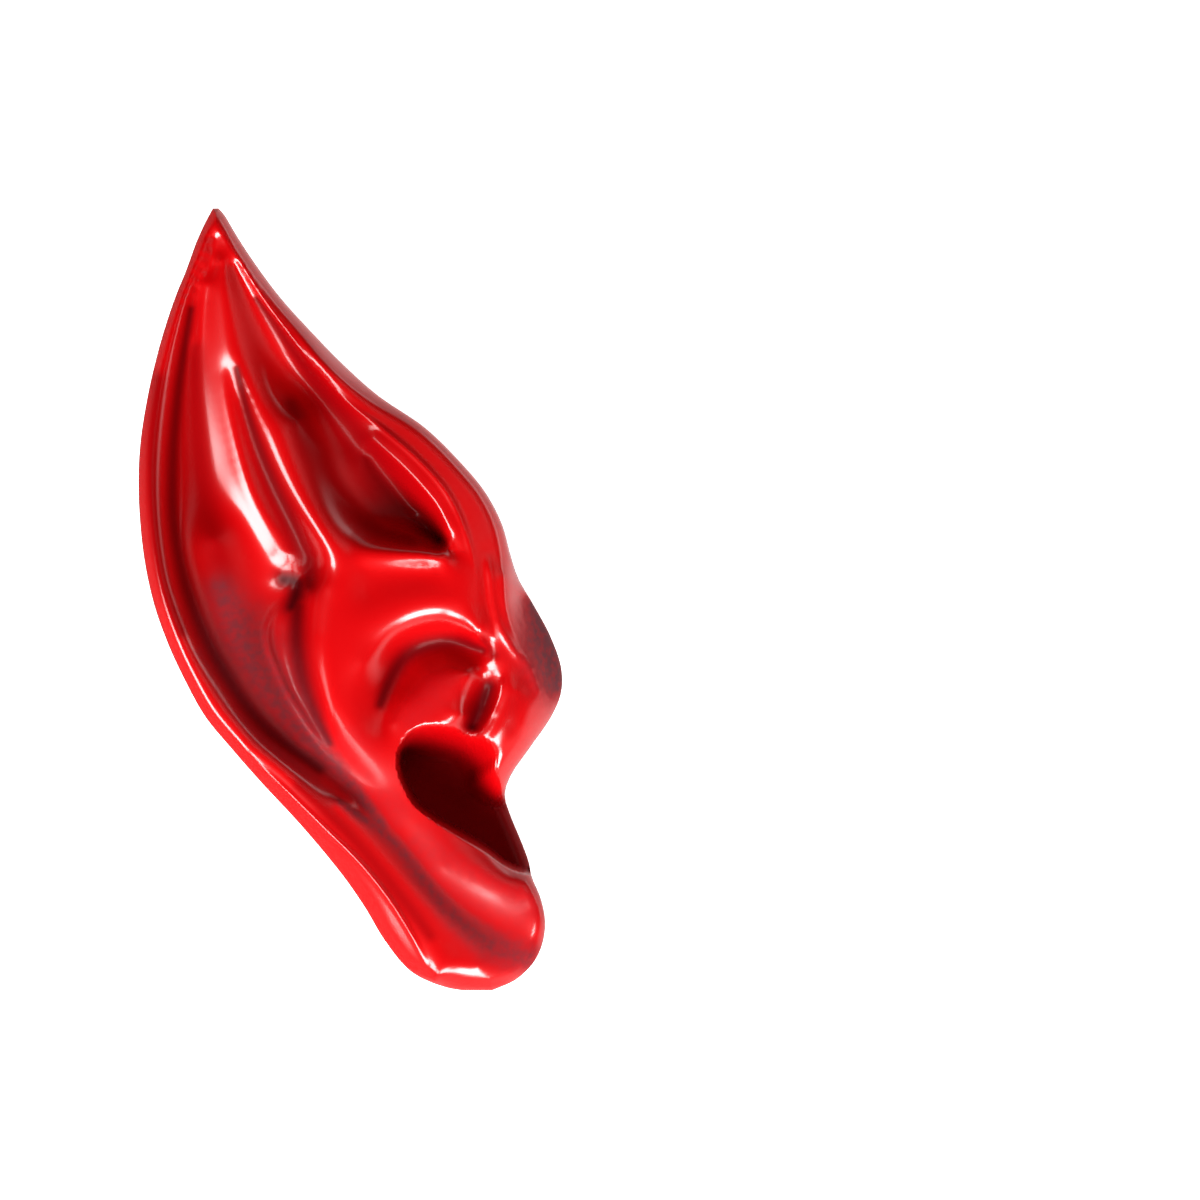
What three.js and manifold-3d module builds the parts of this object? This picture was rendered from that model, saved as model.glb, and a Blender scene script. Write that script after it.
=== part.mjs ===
// Pointed slip-on ear tip: a thin moulded rubber shell with an ear's folds on its face and an open back.
// It lies on its back: X runs across it towards the face side, Y up to the tip, Z up off the table.
// The origin is on the table under its middle. Lengths are in millimetres.
import * as THREE from "three";
import { mergeVertices } from "three/addons/utils/BufferGeometryUtils.js";
import Module from "manifold-3d";

// Driving dimensions
const EAR_WIDTH = 64.6;
const EAR_LENGTH = 120;
const EAR_DEPTH = 22;
const WALL = 1.5;
const EDGE_ROLL = 2.2;
const EDGE_BAND = 0.8;
const BACK_ROUND = 10;
const BACK_FULLNESS = 1.6;
const TIP_RISE = 12;
const TIP_RISE_START = 84;
const TIP_FILL = 8;
const LOBE_FILL = 3;
const CAVUM_FLOOR = 5;
const OPENING_FROM = 25.5;
const OPENING_LENGTH = 57.5;

// How finely the shell is drawn
const SECTIONS = 70;
const FACE_COLUMNS = 34;
const BACK_COLUMNS = 12;
const INSIDE_SECTIONS = 44;
const INSIDE_COLUMNS = 18;
const INSIDE_BACK_COLUMNS = 10;
const KNOT_STEP = 3;
const BALL_STEPS = 8;
const LOOP_POINTS = 4;

// Colour and finish of the moulded rubber
const RUBBER_RED = 0xd8101c;
const RUBBER_ROUGHNESS = 0.25;

// Both edges of the ear, from the tip down to the lobe. Every row here and in FOLDS is a station: across from
// the rearmost point, along from the lobe, and level, as shares of EAR_WIDTH, EAR_LENGTH and EAR_DEPTH.
const REAR_EDGE = [
  [0.173, 1, 0.755],
  [0.156, 0.983, 0.759],
  [0.135, 0.958, 0.773],
  [0.109, 0.919, 0.8],
  [0.083, 0.884, 0.818],
  [0.047, 0.822, 0.85],
  [0.019, 0.756, 0.882],
  [0.002, 0.692, 0.905],
  [0, 0.628, 0.923],
  [0.012, 0.556, 0.936],
  [0.036, 0.495, 0.941],
  [0.071, 0.442, 0.941],
  [0.109, 0.398, 0.932],
  [0.156, 0.352, 0.914],
  [0.218, 0.311, 0.886],
  [0.284, 0.27, 0.841],
  [0.389, 0.208, 0.764],
  [0.481, 0.147, 0.682],
  [0.533, 0.106, 0.636],
  [0.578, 0.065, 0.6],
  [0.642, 0.024, 0.564],
  [0.723, 0.004, 0.536],
  [0.763, 0, 0.527],
];
const FACE_EDGE = [
  [0.187, 1, 0.755],
  [0.201, 0.991, 0.768],
  [0.232, 0.963, 0.791],
  [0.284, 0.921, 0.809],
  [0.339, 0.882, 0.827],
  [0.405, 0.843, 0.845],
  [0.479, 0.802, 0.868],
  [0.564, 0.761, 0.886],
  [0.675, 0.72, 0.9],
  [0.754, 0.679, 0.909],
  [0.818, 0.638, 0.909],
  [0.858, 0.597, 0.895],
  [0.879, 0.556, 0.855],
  [0.896, 0.528, 0.755],
  [0.931, 0.495, 0.618],
  [0.972, 0.454, 0.536],
  [0.998, 0.413, 0.5],
  [0.998, 0.382, 0.509],
  [0.976, 0.352, 0.564],
  [0.924, 0.311, 0.6],
  [0.877, 0.274, 0.555],
  [0.863, 0.249, 0.473],
  [0.872, 0.229, 0.418],
  [0.903, 0.188, 0.405],
  [0.919, 0.165, 0.445],
  [0.927, 0.147, 0.609],
  [0.948, 0.121, 0.632],
  [0.96, 0.091, 0.605],
  [0.955, 0.063, 0.555],
  [0.934, 0.037, 0.536],
  [0.891, 0.014, 0.527],
  [0.834, 0, 0.527],
];

// The folds of the face, each a line of stations along its crest, floor or foot.
const FOLDS = {
  rimCrest: [
    [0.168, 0.978, 0.782],
    [0.154, 0.955, 0.8],
    [0.13, 0.922, 0.823],
    [0.097, 0.871, 0.855],
    [0.066, 0.813, 0.886],
    [0.045, 0.749, 0.923],
    [0.033, 0.685, 0.95],
    [0.036, 0.621, 0.973],
    [0.05, 0.558, 0.991],
    [0.069, 0.51, 1],
    [0.1, 0.462, 1],
    [0.142, 0.414, 0.986],
    [0.201, 0.367, 0.964],
    [0.27, 0.326, 0.936],
    [0.355, 0.288, 0.905],
    [0.438, 0.249, 0.873],
    [0.498, 0.214, 0.845],
    [0.559, 0.173, 0.805],
    [0.635, 0.121, 0.75],
    [0.723, 0.072, 0.695],
    [0.801, 0.033, 0.645],
  ],
  tailRidge: [
    [0.251, 0.306, 0.932],
    [0.332, 0.266, 0.9],
    [0.427, 0.216, 0.859],
    [0.521, 0.165, 0.809],
    [0.616, 0.098, 0.741],
    [0.673, 0.045, 0.682],
    [0.697, 0.014, 0.632],
  ],
  rimFoot: [
    [0.164, 0.95, 0.773],
    [0.149, 0.922, 0.768],
    [0.126, 0.884, 0.773],
    [0.109, 0.832, 0.777],
    [0.097, 0.781, 0.782],
    [0.088, 0.73, 0.791],
    [0.081, 0.679, 0.805],
    [0.081, 0.628, 0.818],
    [0.09, 0.577, 0.832],
    [0.104, 0.532, 0.841],
    [0.128, 0.494, 0.841],
    [0.171, 0.439, 0.832],
    [0.223, 0.396, 0.818],
    [0.277, 0.353, 0.8],
    [0.341, 0.318, 0.782],
    [0.403, 0.29, 0.768],
    [0.474, 0.261, 0.764],
    [0.536, 0.238, 0.764],
  ],
  tailGroove: [
    [0.573, 0.221, 0.755],
    [0.618, 0.194, 0.723],
    [0.668, 0.16, 0.686],
    [0.718, 0.129, 0.655],
    [0.775, 0.101, 0.623],
    [0.832, 0.082, 0.595],
    [0.891, 0.07, 0.573],
    [0.938, 0.064, 0.55],
  ],
  scaphaFloor: [
    [0.175, 0.577, 0.795],
    [0.204, 0.513, 0.782],
    [0.237, 0.455, 0.768],
    [0.28, 0.404, 0.755],
    [0.332, 0.357, 0.745],
    [0.393, 0.318, 0.75],
  ],
  crusFoot: [
    [0.161, 0.903, 0.786],
    [0.166, 0.845, 0.786],
    [0.175, 0.794, 0.786],
    [0.187, 0.756, 0.789],
    [0.211, 0.692, 0.791],
    [0.244, 0.628, 0.789],
    [0.275, 0.59, 0.777],
    [0.313, 0.556, 0.745],
    [0.341, 0.529, 0.705],
  ],
  crusRearCrest: [
    [0.19, 0.826, 0.816],
    [0.211, 0.756, 0.823],
    [0.242, 0.692, 0.832],
    [0.284, 0.628, 0.841],
    [0.32, 0.59, 0.832],
    [0.358, 0.556, 0.795],
    [0.372, 0.536, 0.75],
  ],
  crusValley: [
    [0.204, 0.826, 0.818],
    [0.225, 0.756, 0.816],
    [0.258, 0.692, 0.82],
    [0.303, 0.628, 0.825],
    [0.341, 0.59, 0.814],
    [0.377, 0.556, 0.773],
    [0.389, 0.532, 0.727],
  ],
  crusFaceCrest: [
    [0.194, 0.932, 0.818],
    [0.209, 0.894, 0.845],
    [0.227, 0.826, 0.864],
    [0.265, 0.756, 0.886],
    [0.31, 0.692, 0.909],
    [0.377, 0.624, 0.941],
    [0.422, 0.583, 0.964],
    [0.46, 0.549, 0.977],
  ],
  crusValleyFace: [
    [0.239, 0.756, 0.827],
    [0.275, 0.692, 0.827],
    [0.329, 0.628, 0.834],
    [0.37, 0.59, 0.827],
    [0.403, 0.556, 0.8],
  ],
  crusEdge: [
    [0.536, 0.536, 0.977],
    [0.616, 0.537, 0.977],
    [0.697, 0.537, 0.977],
  ],
  rootFoot: [
    [0.839, 0.432, 0.827],
    [0.86, 0.418, 0.827],
  ],
  bumpEdge: [
    [0.604, 0.344, 0.868],
    [0.621, 0.37, 0.855],
    [0.647, 0.393, 0.827],
    [0.685, 0.412, 0.818],
    [0.73, 0.422, 0.809],
  ],
  dimpleOuter: [
    [0.893, 0.385, 0.823],
    [0.884, 0.357, 0.795],
    [0.86, 0.329, 0.759],
  ],
  tailShoulder: [
    [0.476, 0.242, 0.855],
    [0.533, 0.206, 0.823],
    [0.595, 0.166, 0.782],
    [0.659, 0.127, 0.736],
    [0.725, 0.091, 0.691],
    [0.791, 0.061, 0.65],
  ],
  pit: [
    [0.37, 0.513, 0.677],
    [0.355, 0.492, 0.682],
  ],
  stemFoot: [
    [0.346, 0.472, 0.7],
    [0.348, 0.436, 0.718],
    [0.365, 0.398, 0.732],
    [0.391, 0.359, 0.745],
    [0.431, 0.324, 0.759],
  ],
  stemShoulder: [
    [0.441, 0.519, 0.95],
    [0.431, 0.481, 0.95],
    [0.424, 0.436, 0.95],
    [0.431, 0.398, 0.932],
    [0.453, 0.359, 0.895],
    [0.481, 0.326, 0.855],
  ],
  stemSlope: [
    [0.4, 0.515, 0.832],
    [0.389, 0.477, 0.836],
    [0.386, 0.436, 0.841],
    [0.398, 0.398, 0.836],
    [0.422, 0.359, 0.818],
  ],
  stemTop: [
    [0.498, 0.519, 0.982],
    [0.474, 0.462, 0.986],
    [0.474, 0.404, 0.973],
    [0.493, 0.357, 0.927],
    [0.517, 0.321, 0.877],
    [0.55, 0.288, 0.823],
    [0.588, 0.257, 0.782],
    [0.626, 0.229, 0.755],
    [0.673, 0.207, 0.732],
    [0.739, 0.185, 0.709],
    [0.801, 0.165, 0.684],
    [0.853, 0.146, 0.664],
    [0.9, 0.134, 0.645],
  ],
  lowerCrus: [
    [0.502, 0.559, 0.995],
    [0.581, 0.559, 1],
    [0.664, 0.559, 1],
    [0.725, 0.558, 0.986],
  ],
  plateau: [
    [0.54, 0.503, 0.973],
    [0.616, 0.506, 0.973],
    [0.687, 0.51, 0.973],
    [0.746, 0.51, 0.973],
  ],
  fossaFloor: [
    [0.227, 0.927, 0.795],
    [0.277, 0.884, 0.809],
    [0.36, 0.824, 0.823],
    [0.455, 0.76, 0.814],
    [0.507, 0.712, 0.786],
    [0.54, 0.666, 0.741],
    [0.59, 0.628, 0.691],
    [0.637, 0.601, 0.668],
    [0.687, 0.583, 0.673],
  ],
  fossaSlope: [
    [0.379, 0.73, 0.859],
    [0.431, 0.679, 0.841],
    [0.488, 0.628, 0.818],
    [0.54, 0.592, 0.805],
    [0.611, 0.575, 0.818],
    [0.687, 0.569, 0.809],
  ],
  fossaFaceFoot: [
    [0.55, 0.687, 0.755],
    [0.6, 0.655, 0.714],
    [0.637, 0.628, 0.686],
    [0.671, 0.604, 0.677],
    [0.697, 0.579, 0.695],
    [0.713, 0.561, 0.764],
  ],
  helixCrest: [
    [0.182, 0.978, 0.786],
    [0.204, 0.96, 0.805],
    [0.239, 0.932, 0.823],
    [0.294, 0.884, 0.845],
    [0.358, 0.835, 0.868],
    [0.412, 0.795, 0.886],
    [0.488, 0.752, 0.909],
    [0.583, 0.714, 0.927],
    [0.664, 0.676, 0.936],
    [0.725, 0.638, 0.945],
    [0.761, 0.6, 0.95],
    [0.782, 0.566, 0.955],
    [0.799, 0.532, 0.955],
    [0.808, 0.505, 0.945],
  ],
  helixInner: [
    [0.55, 0.703, 0.895],
    [0.621, 0.671, 0.905],
    [0.668, 0.643, 0.909],
    [0.704, 0.618, 0.909],
    [0.727, 0.59, 0.914],
    [0.744, 0.561, 0.936],
  ],
  rootRidge: [
    [0.82, 0.561, 0.932],
    [0.827, 0.532, 0.927],
    [0.839, 0.494, 0.905],
    [0.853, 0.464, 0.873],
    [0.879, 0.441, 0.832],
    [0.912, 0.413, 0.786],
    [0.931, 0.385, 0.75],
  ],
  rootOuter: [
    [0.867, 0.532, 0.909],
    [0.872, 0.497, 0.882],
    [0.882, 0.465, 0.845],
    [0.903, 0.439, 0.805],
    [0.931, 0.413, 0.768],
    [0.95, 0.385, 0.727],
  ],
  tipValley: [
    [0.175, 0.963, 0.768],
    [0.18, 0.945, 0.773],
    [0.18, 0.925, 0.786],
  ],
  bulge: [
    [0.905, 0.503, 0.664],
    [0.934, 0.462, 0.618],
    [0.962, 0.421, 0.586],
    [0.976, 0.39, 0.573],
  ],
  faceStrip: [
    [0.934, 0.368, 0.736],
    [0.915, 0.34, 0.718],
    [0.872, 0.311, 0.691],
    [0.848, 0.283, 0.632],
  ],
  arch: [
    [0.531, 0.421, 0.955],
    [0.55, 0.446, 0.959],
    [0.581, 0.464, 0.964],
    [0.621, 0.478, 0.964],
    [0.668, 0.488, 0.964],
    [0.711, 0.492, 0.964],
    [0.754, 0.488, 0.959],
    [0.777, 0.474, 0.95],
    [0.801, 0.457, 0.927],
  ],
  cymbaFloor: [
    [0.571, 0.37, 0.832],
    [0.597, 0.4, 0.782],
    [0.628, 0.427, 0.755],
    [0.682, 0.442, 0.741],
    [0.746, 0.446, 0.745],
    [0.815, 0.436, 0.773],
  ],
  bumpFoot: [
    [0.583, 0.336, 0.85],
    [0.595, 0.362, 0.823],
    [0.621, 0.393, 0.777],
    [0.661, 0.417, 0.764],
    [0.713, 0.43, 0.759],
  ],
  bumpCrest: [
    [0.635, 0.335, 0.882],
    [0.661, 0.357, 0.891],
    [0.697, 0.382, 0.886],
    [0.739, 0.398, 0.873],
    [0.777, 0.405, 0.855],
  ],
  bumpTop: [
    [0.711, 0.357, 0.873],
    [0.751, 0.379, 0.859],
    [0.768, 0.352, 0.818],
  ],
  dimple: [
    [0.827, 0.39, 0.727],
    [0.81, 0.364, 0.691],
    [0.789, 0.341, 0.668],
  ],
  dimpleWall: [
    [0.858, 0.393, 0.814],
    [0.853, 0.372, 0.795],
    [0.832, 0.344, 0.764],
    [0.81, 0.325, 0.736],
  ],
  lobeMiddle: [
    [0.72, 0.16, 0.689],
    [0.806, 0.128, 0.65],
    [0.877, 0.11, 0.627],
    [0.931, 0.106, 0.614],
  ],
};

// The deep hollow at the middle of the ear: stations on its rim, each with the place on its floor below it.
// The columns are rim across, rim along, floor across, floor along, as shares of EAR_WIDTH and EAR_LENGTH.
const CAVUM = [
  [0.611, 0.308, 0.621, 0.302],
  [0.609, 0.288, 0.621, 0.284],
  [0.621, 0.265, 0.633, 0.265],
  [0.647, 0.239, 0.656, 0.243],
  [0.687, 0.221, 0.694, 0.226],
  [0.754, 0.198, 0.761, 0.205],
  [0.815, 0.178, 0.822, 0.184],
  [0.863, 0.159, 0.867, 0.166],
  [0.9, 0.15, 0.905, 0.157],
  [0.995, 0.147, 0.976, 0.157],
  [1.038, 0.203, 0.986, 0.196],
  [0.96, 0.254, 0.919, 0.224],
  [0.872, 0.262, 0.82, 0.234],
  [0.851, 0.285, 0.773, 0.254],
  [0.858, 0.308, 0.756, 0.277],
  [0.829, 0.325, 0.727, 0.29],
  [0.77, 0.338, 0.697, 0.295],
  [0.706, 0.344, 0.668, 0.298],
  [0.659, 0.34, 0.642, 0.301],
  [0.628, 0.327, 0.628, 0.303],
];

// The opening in the back that goes over the wearer's own ear.
// The columns are a share of OPENING_LENGTH, then its rear and its face side as shares of EAR_WIDTH.
const OPENING = [
  [1, 0.34, 0.42],
  [0.97, 0.28, 0.5],
  [0.885, 0.225, 0.585],
  [0.76, 0.2, 0.66],
  [0.635, 0.205, 0.7],
  [0.51, 0.25, 0.75],
  [0.385, 0.3, 0.78],
  [0.26, 0.37, 0.765],
  [0.135, 0.455, 0.7],
  [0.04, 0.525, 0.64],
  [0, 0.56, 0.6],
];

// A smooth curve through a table's rows, as points about a step apart.
function trace(rows, step) {
  const points = rows.map(
    ([across, along, level]) => new THREE.Vector3(across * EAR_WIDTH, along * EAR_LENGTH, level),
  );
  const curve = new THREE.CatmullRomCurve3(points, false, "centripetal");
  return curve.getSpacedPoints(Math.max(1, Math.round(curve.getLength() / step)));
}

// A smooth closed curve through stations, with the same number of points from each station to the next.
function loop(rows) {
  const points = rows.map(
    ([across, along]) => new THREE.Vector3(across * EAR_WIDTH, along * EAR_LENGTH, 0),
  );
  const curve = new THREE.CatmullRomCurve3(points, true, "centripetal");
  return curve.getPoints(rows.length * LOOP_POINTS).slice(0, -1);
}

const rearEdge = trace(REAR_EDGE, 0.5);
const faceEdge = trace(FACE_EDGE, 0.5);
const outline = [...rearEdge, ...faceEdge.toReversed()];
const cavum = [0, 2].map((column) => loop(CAVUM.map((row) => row.slice(column, column + 2))));

// Place and level of an edge at a height along the ear; both edges run down from the tip.
function edgeAt(edge, y) {
  const next = edge.findIndex((point) => point.y <= y);
  if (next === 0) return edge[0].clone();
  if (next < 0) return edge.at(-1).clone();
  const [above, below] = [edge[next - 1], edge[next]];
  return above.clone().lerp(below, (above.y - y) / (above.y - below.y));
}

function isInside(ring, x, y) {
  let inside = false;
  ring.forEach((a, i) => {
    const b = ring[(i + 1) % ring.length];
    if (a.y > y !== b.y > y && x < a.x + ((b.x - a.x) * (y - a.y)) / (b.y - a.y)) inside = !inside;
  });
  return inside;
}

// How far a place lies inside the outline, 0 outside it.
function depthInside(x, y) {
  if (!isInside(outline, x, y)) return 0;
  let nearest = Infinity;
  outline.forEach((a, i) => {
    const b = outline[(i + 1) % outline.length];
    const [dx, dy] = [b.x - a.x, b.y - a.y];
    const t = THREE.MathUtils.clamp(((x - a.x) * dx + (y - a.y) * dy) / (dx * dx + dy * dy), 0, 1);
    nearest = Math.min(nearest, Math.hypot(x - a.x - t * dx, y - a.y - t * dy));
  });
  return nearest;
}

// A thin plate bent through every edge and fold line gives the face its height.
const knots = [REAR_EDGE, FACE_EDGE, ...Object.values(FOLDS)].flatMap((rows) => trace(rows, KNOT_STEP));
const plate = bendPlate(knots);

function plateKernel(dx, dy) {
  const square = dx * dx + dy * dy;
  return square > 0 ? square * Math.log(square) : 0;
}

function bendPlate(points) {
  const size = points.length + 3;
  const rows = points.map((p, i) => {
    const row = points.map((q) => plateKernel(p.x - q.x, p.y - q.y));
    return [...row, 1, p.x, p.y, p.z];
  });
  rows.push([...points.map(() => 1), 0, 0, 0, 0]);
  rows.push([...points.map((p) => p.x), 0, 0, 0, 0]);
  rows.push([...points.map((p) => p.y), 0, 0, 0, 0]);
  for (let column = 0; column < size; column++) {
    let best = column;
    for (let i = column + 1; i < size; i++) {
      if (Math.abs(rows[i][column]) > Math.abs(rows[best][column])) best = i;
    }
    [rows[column], rows[best]] = [rows[best], rows[column]];
    for (let i = column + 1; i < size; i++) {
      const factor = rows[i][column] / rows[column][column];
      for (let j = column; factor !== 0 && j <= size; j++) rows[i][j] -= factor * rows[column][j];
    }
  }
  const weights = new Array(size).fill(0);
  for (let i = size - 1; i >= 0; i--) {
    let rest = rows[i][size];
    for (let j = i + 1; j < size; j++) rest -= rows[i][j] * weights[j];
    weights[i] = rest / rows[i][i];
  }
  return weights;
}

function plateHeight(x, y) {
  const [flat, tiltX, tiltY] = plate.slice(-3);
  const bent = knots.reduce((sum, p, i) => sum + plate[i] * plateKernel(x - p.x, y - p.y), 0);
  return EAR_DEPTH * (bent + flat + tiltX * x + tiltY * y);
}

// A share that grows from 0 at the cavum's rim to 1 on its floor.
function cavumShare(x, y) {
  const [rim, floor] = cavum;
  if (!isInside(rim, x, y)) return 0;
  if (isInside(floor, x, y)) return 1;
  const slopes = rim.map((top, i) => {
    const [dx, dy] = [floor[i].x - top.x, floor[i].y - top.y];
    const share = THREE.MathUtils.clamp(((x - top.x) * dx + (y - top.y) * dy) / (dx * dx + dy * dy), 0, 1);
    return { share, distance: Math.hypot(x - top.x - share * dx, y - top.y - share * dy) };
  });
  return slopes.reduce((best, slope) => (slope.distance < best.distance ? slope : best)).share;
}

// The share that a rounded edge still drops at a distance in from its start; fullness 2 is a quarter ellipse.
function roundDrop(distance, radius, fullness) {
  const rest = THREE.MathUtils.clamp(1 - distance / radius, 0, 1);
  return 1 - (1 - rest ** fullness) ** (1 / fullness);
}

function faceHeight(x, y) {
  return plateHeight(x, y) - EDGE_ROLL * roundDrop(depthInside(x, y), EDGE_ROLL, 2);
}

// The edges take the face's own height, also where the cavum runs out through the face edge.
for (const point of outline) {
  const { x, y } = point;
  point.z = THREE.MathUtils.lerp(plateHeight(x, y), CAVUM_FLOOR, cavumShare(x, y)) - EDGE_ROLL;
}

function backHeight(x, y) {
  const rear = edgeAt(rearEdge, y);
  const face = edgeAt(faceEdge, y);
  const share = THREE.MathUtils.clamp((x - rear.x) / (face.x - rear.x), 0, 1);
  const edge = THREE.MathUtils.lerp(rear.z, face.z, share) - EDGE_BAND;
  const rise = TIP_RISE * THREE.MathUtils.smoothstep(y, TIP_RISE_START, EAR_LENGTH * 1.05);
  return rise + (edge - rise) * roundDrop(depthInside(x, y), BACK_ROUND, BACK_FULLNESS);
}

// Offsets that sample a ball of the wall's radius, each with the ball's height there.
const ball = [{ x: 0, y: 0, height: WALL }];
for (const share of [0.55, 0.95]) {
  for (let step = 0; step < BALL_STEPS; step++) {
    const angle = (2 * Math.PI * step) / BALL_STEPS;
    ball.push({
      x: share * WALL * Math.cos(angle),
      y: share * WALL * Math.sin(angle),
      height: WALL * Math.sqrt(1 - share * share),
    });
  }
}

const insideFace = (x, y) => Math.min(...ball.map((b) => faceHeight(x + b.x, y + b.y) - b.height));
const insideBack = (x, y) => Math.max(...ball.map((b) => backHeight(x + b.x, y + b.y) + b.height));

// Shares from 0 to 1, closer together at both ends.
function gather(count) {
  return Array.from({ length: count + 1 }, (_, i) => {
    const even = i / count;
    return (even + (1 - Math.cos(Math.PI * even)) / 2) / 2;
  });
}

// A closed body between a top and a bottom height, over straight sections of the ear's plan.
function pillow(from, to, inset, sections, topColumns, bottomColumns, top, bottom) {
  const positions = [];
  const triangles = [];
  const heights = gather(sections).map((share) => from + (to - from) * share);
  const ends = heights.map((y) => [rearEdge, faceEdge].map((edge, side) => {
    const slope = (edgeAt(edge, y + inset).x - edgeAt(edge, y - inset).x) / (2 * inset);
    return edgeAt(edge, y).x + (side ? -1 : 1) * inset * Math.hypot(1, slope);
  }));
  const sheet = (columns, height, turned) => {
    const start = positions.length / 3;
    heights.forEach((y, i) => {
      for (const share of gather(columns)) {
        const x = THREE.MathUtils.lerp(...ends[i], share);
        positions.push(x, y, height(x, y));
      }
    });
    const at = (i, j) => start + i * (columns + 1) + j;
    for (let i = 0; i < sections; i++) {
      for (let j = 0; j < columns; j++) {
        const corners = [at(i, j), at(i, j + 1), at(i + 1, j + 1), at(i + 1, j)];
        if (turned) corners.reverse();
        const [a, b, c, d] = corners.map((corner) => positions[3 * corner + 2]);
        if (Math.abs(a - c) > Math.abs(b - d)) corners.push(corners.shift());
        triangles.push(corners[0], corners[1], corners[2], corners[0], corners[2], corners[3]);
      }
    }
    return at;
  };
  const up = sheet(topColumns, top, false);
  const down = sheet(bottomColumns, bottom, true);
  for (let i = 0; i < sections; i++) {
    wallQuad(up(i + 1, 0), up(i, 0), down(i, 0), down(i + 1, 0));
    wallQuad(up(i, topColumns), up(i + 1, topColumns), down(i + 1, bottomColumns), down(i, bottomColumns));
  }
  zip(0, true);
  zip(sections, false);
  return solid(positions, triangles);

  function wallQuad(a, b, c, d) {
    triangles.push(a, d, c, a, c, b);
  }

  // The end walls join sheets that may have different numbers of columns.
  function zip(i, first) {
    let [j, k] = [0, 0];
    while (j < topColumns || k < bottomColumns) {
      const topIsNext = (j + 1) / topColumns <= (k + 1) / bottomColumns;
      const stepTop = k === bottomColumns || (j < topColumns && topIsNext);
      const corner = stepTop ? up(i, j + 1) : down(i, k + 1);
      const face = [up(i, j), down(i, k), corner];
      if (!first) face.reverse();
      triangles.push(...face);
      if (stepTop) j += 1;
      else k += 1;
    }
  }
}

const wasm = await Module();
wasm.setup();

function solid(positions, triangles) {
  return new wasm.Manifold(
    new wasm.Mesh({
      numProp: 3,
      vertProperties: new Float32Array(positions),
      triVerts: new Uint32Array(triangles),
    }),
  );
}

// The cavum as a body to cut away, with all its walls moved out by a thickness.
function cavumBody(thickness) {
  const [rim, floor] = cavum.map((points) => points.map((p, i) => {
    const run = points[(i + 1) % points.length].clone().sub(points.at(i - 1)).normalize();
    return new THREE.Vector2(p.x + thickness * run.y, p.y - thickness * run.x);
  }));
  const count = rim.length;
  const rings = [
    floor.map((p) => [p.x, p.y, CAVUM_FLOOR - thickness]),
    rim.map((p, i) => [p.x, p.y, plateHeight(cavum[0][i].x, cavum[0][i].y)]),
    rim.map((p) => [p.x, p.y, 1.5 * EAR_DEPTH]),
  ];
  const triangles = [];
  for (const start of [0, count]) {
    for (let i = 0; i < count; i++) {
      const [a, b] = [start + i, start + ((i + 1) % count)];
      triangles.push(a, b, b + count, a, b + count, a + count);
    }
  }
  for (const [a, b, c] of THREE.ShapeUtils.triangulateShape(floor, [])) triangles.push(c, b, a);
  const lid = THREE.ShapeUtils.triangulateShape(rim, []).flat();
  triangles.push(...lid.map((i) => i + 2 * count));
  return solid(rings.flat(2), triangles);
}

function openingBody() {
  const side = (column) => OPENING.map(([share, ...sides]) => {
    return new THREE.Vector2(sides[column] * EAR_WIDTH, OPENING_FROM + share * OPENING_LENGTH);
  });
  const curve = new THREE.SplineCurve([...side(0), ...side(1).toReversed()]);
  const shape = new THREE.Shape(curve.getSpacedPoints(60));
  const geometry = new THREE.ExtrudeGeometry(shape, { depth: 2 * WALL, bevelEnabled: false });
  geometry.translate(0, 0, -WALL / 2);
  geometry.deleteAttribute("normal");
  geometry.deleteAttribute("uv");
  const merged = mergeVertices(geometry);
  return solid(merged.attributes.position.array, merged.index.array);
}

function earShell() {
  const outside = pillow(0, EAR_LENGTH, 0.001, SECTIONS, FACE_COLUMNS, BACK_COLUMNS, faceHeight, backHeight);
  const hollow = pillow(
    LOBE_FILL,
    EAR_LENGTH - TIP_FILL,
    WALL,
    INSIDE_SECTIONS,
    INSIDE_COLUMNS,
    INSIDE_BACK_COLUMNS,
    insideFace,
    insideBack,
  );
  const skin = outside.subtract(cavumBody(0));
  const shell = skin.subtract(hollow.subtract(cavumBody(WALL))).subtract(openingBody());
  const made = shell.getMesh();
  const geometry = new THREE.BufferGeometry();
  geometry.setAttribute("position", new THREE.BufferAttribute(made.vertProperties, 3));
  geometry.setIndex(new THREE.BufferAttribute(made.triVerts, 1));
  geometry.computeVertexNormals();
  const material = new THREE.MeshStandardMaterial({
    color: RUBBER_RED,
    roughness: RUBBER_ROUGHNESS,
    metalness: 0,
  });
  const mesh = new THREE.Mesh(geometry, material);
  mesh.name = "ear_shell";
  mesh.position.set(-EAR_WIDTH / 2, -EAR_LENGTH / 2, 0);
  return mesh;
}

const ear = new THREE.Group();
ear.add(earShell());

export default ear;
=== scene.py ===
import math

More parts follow.
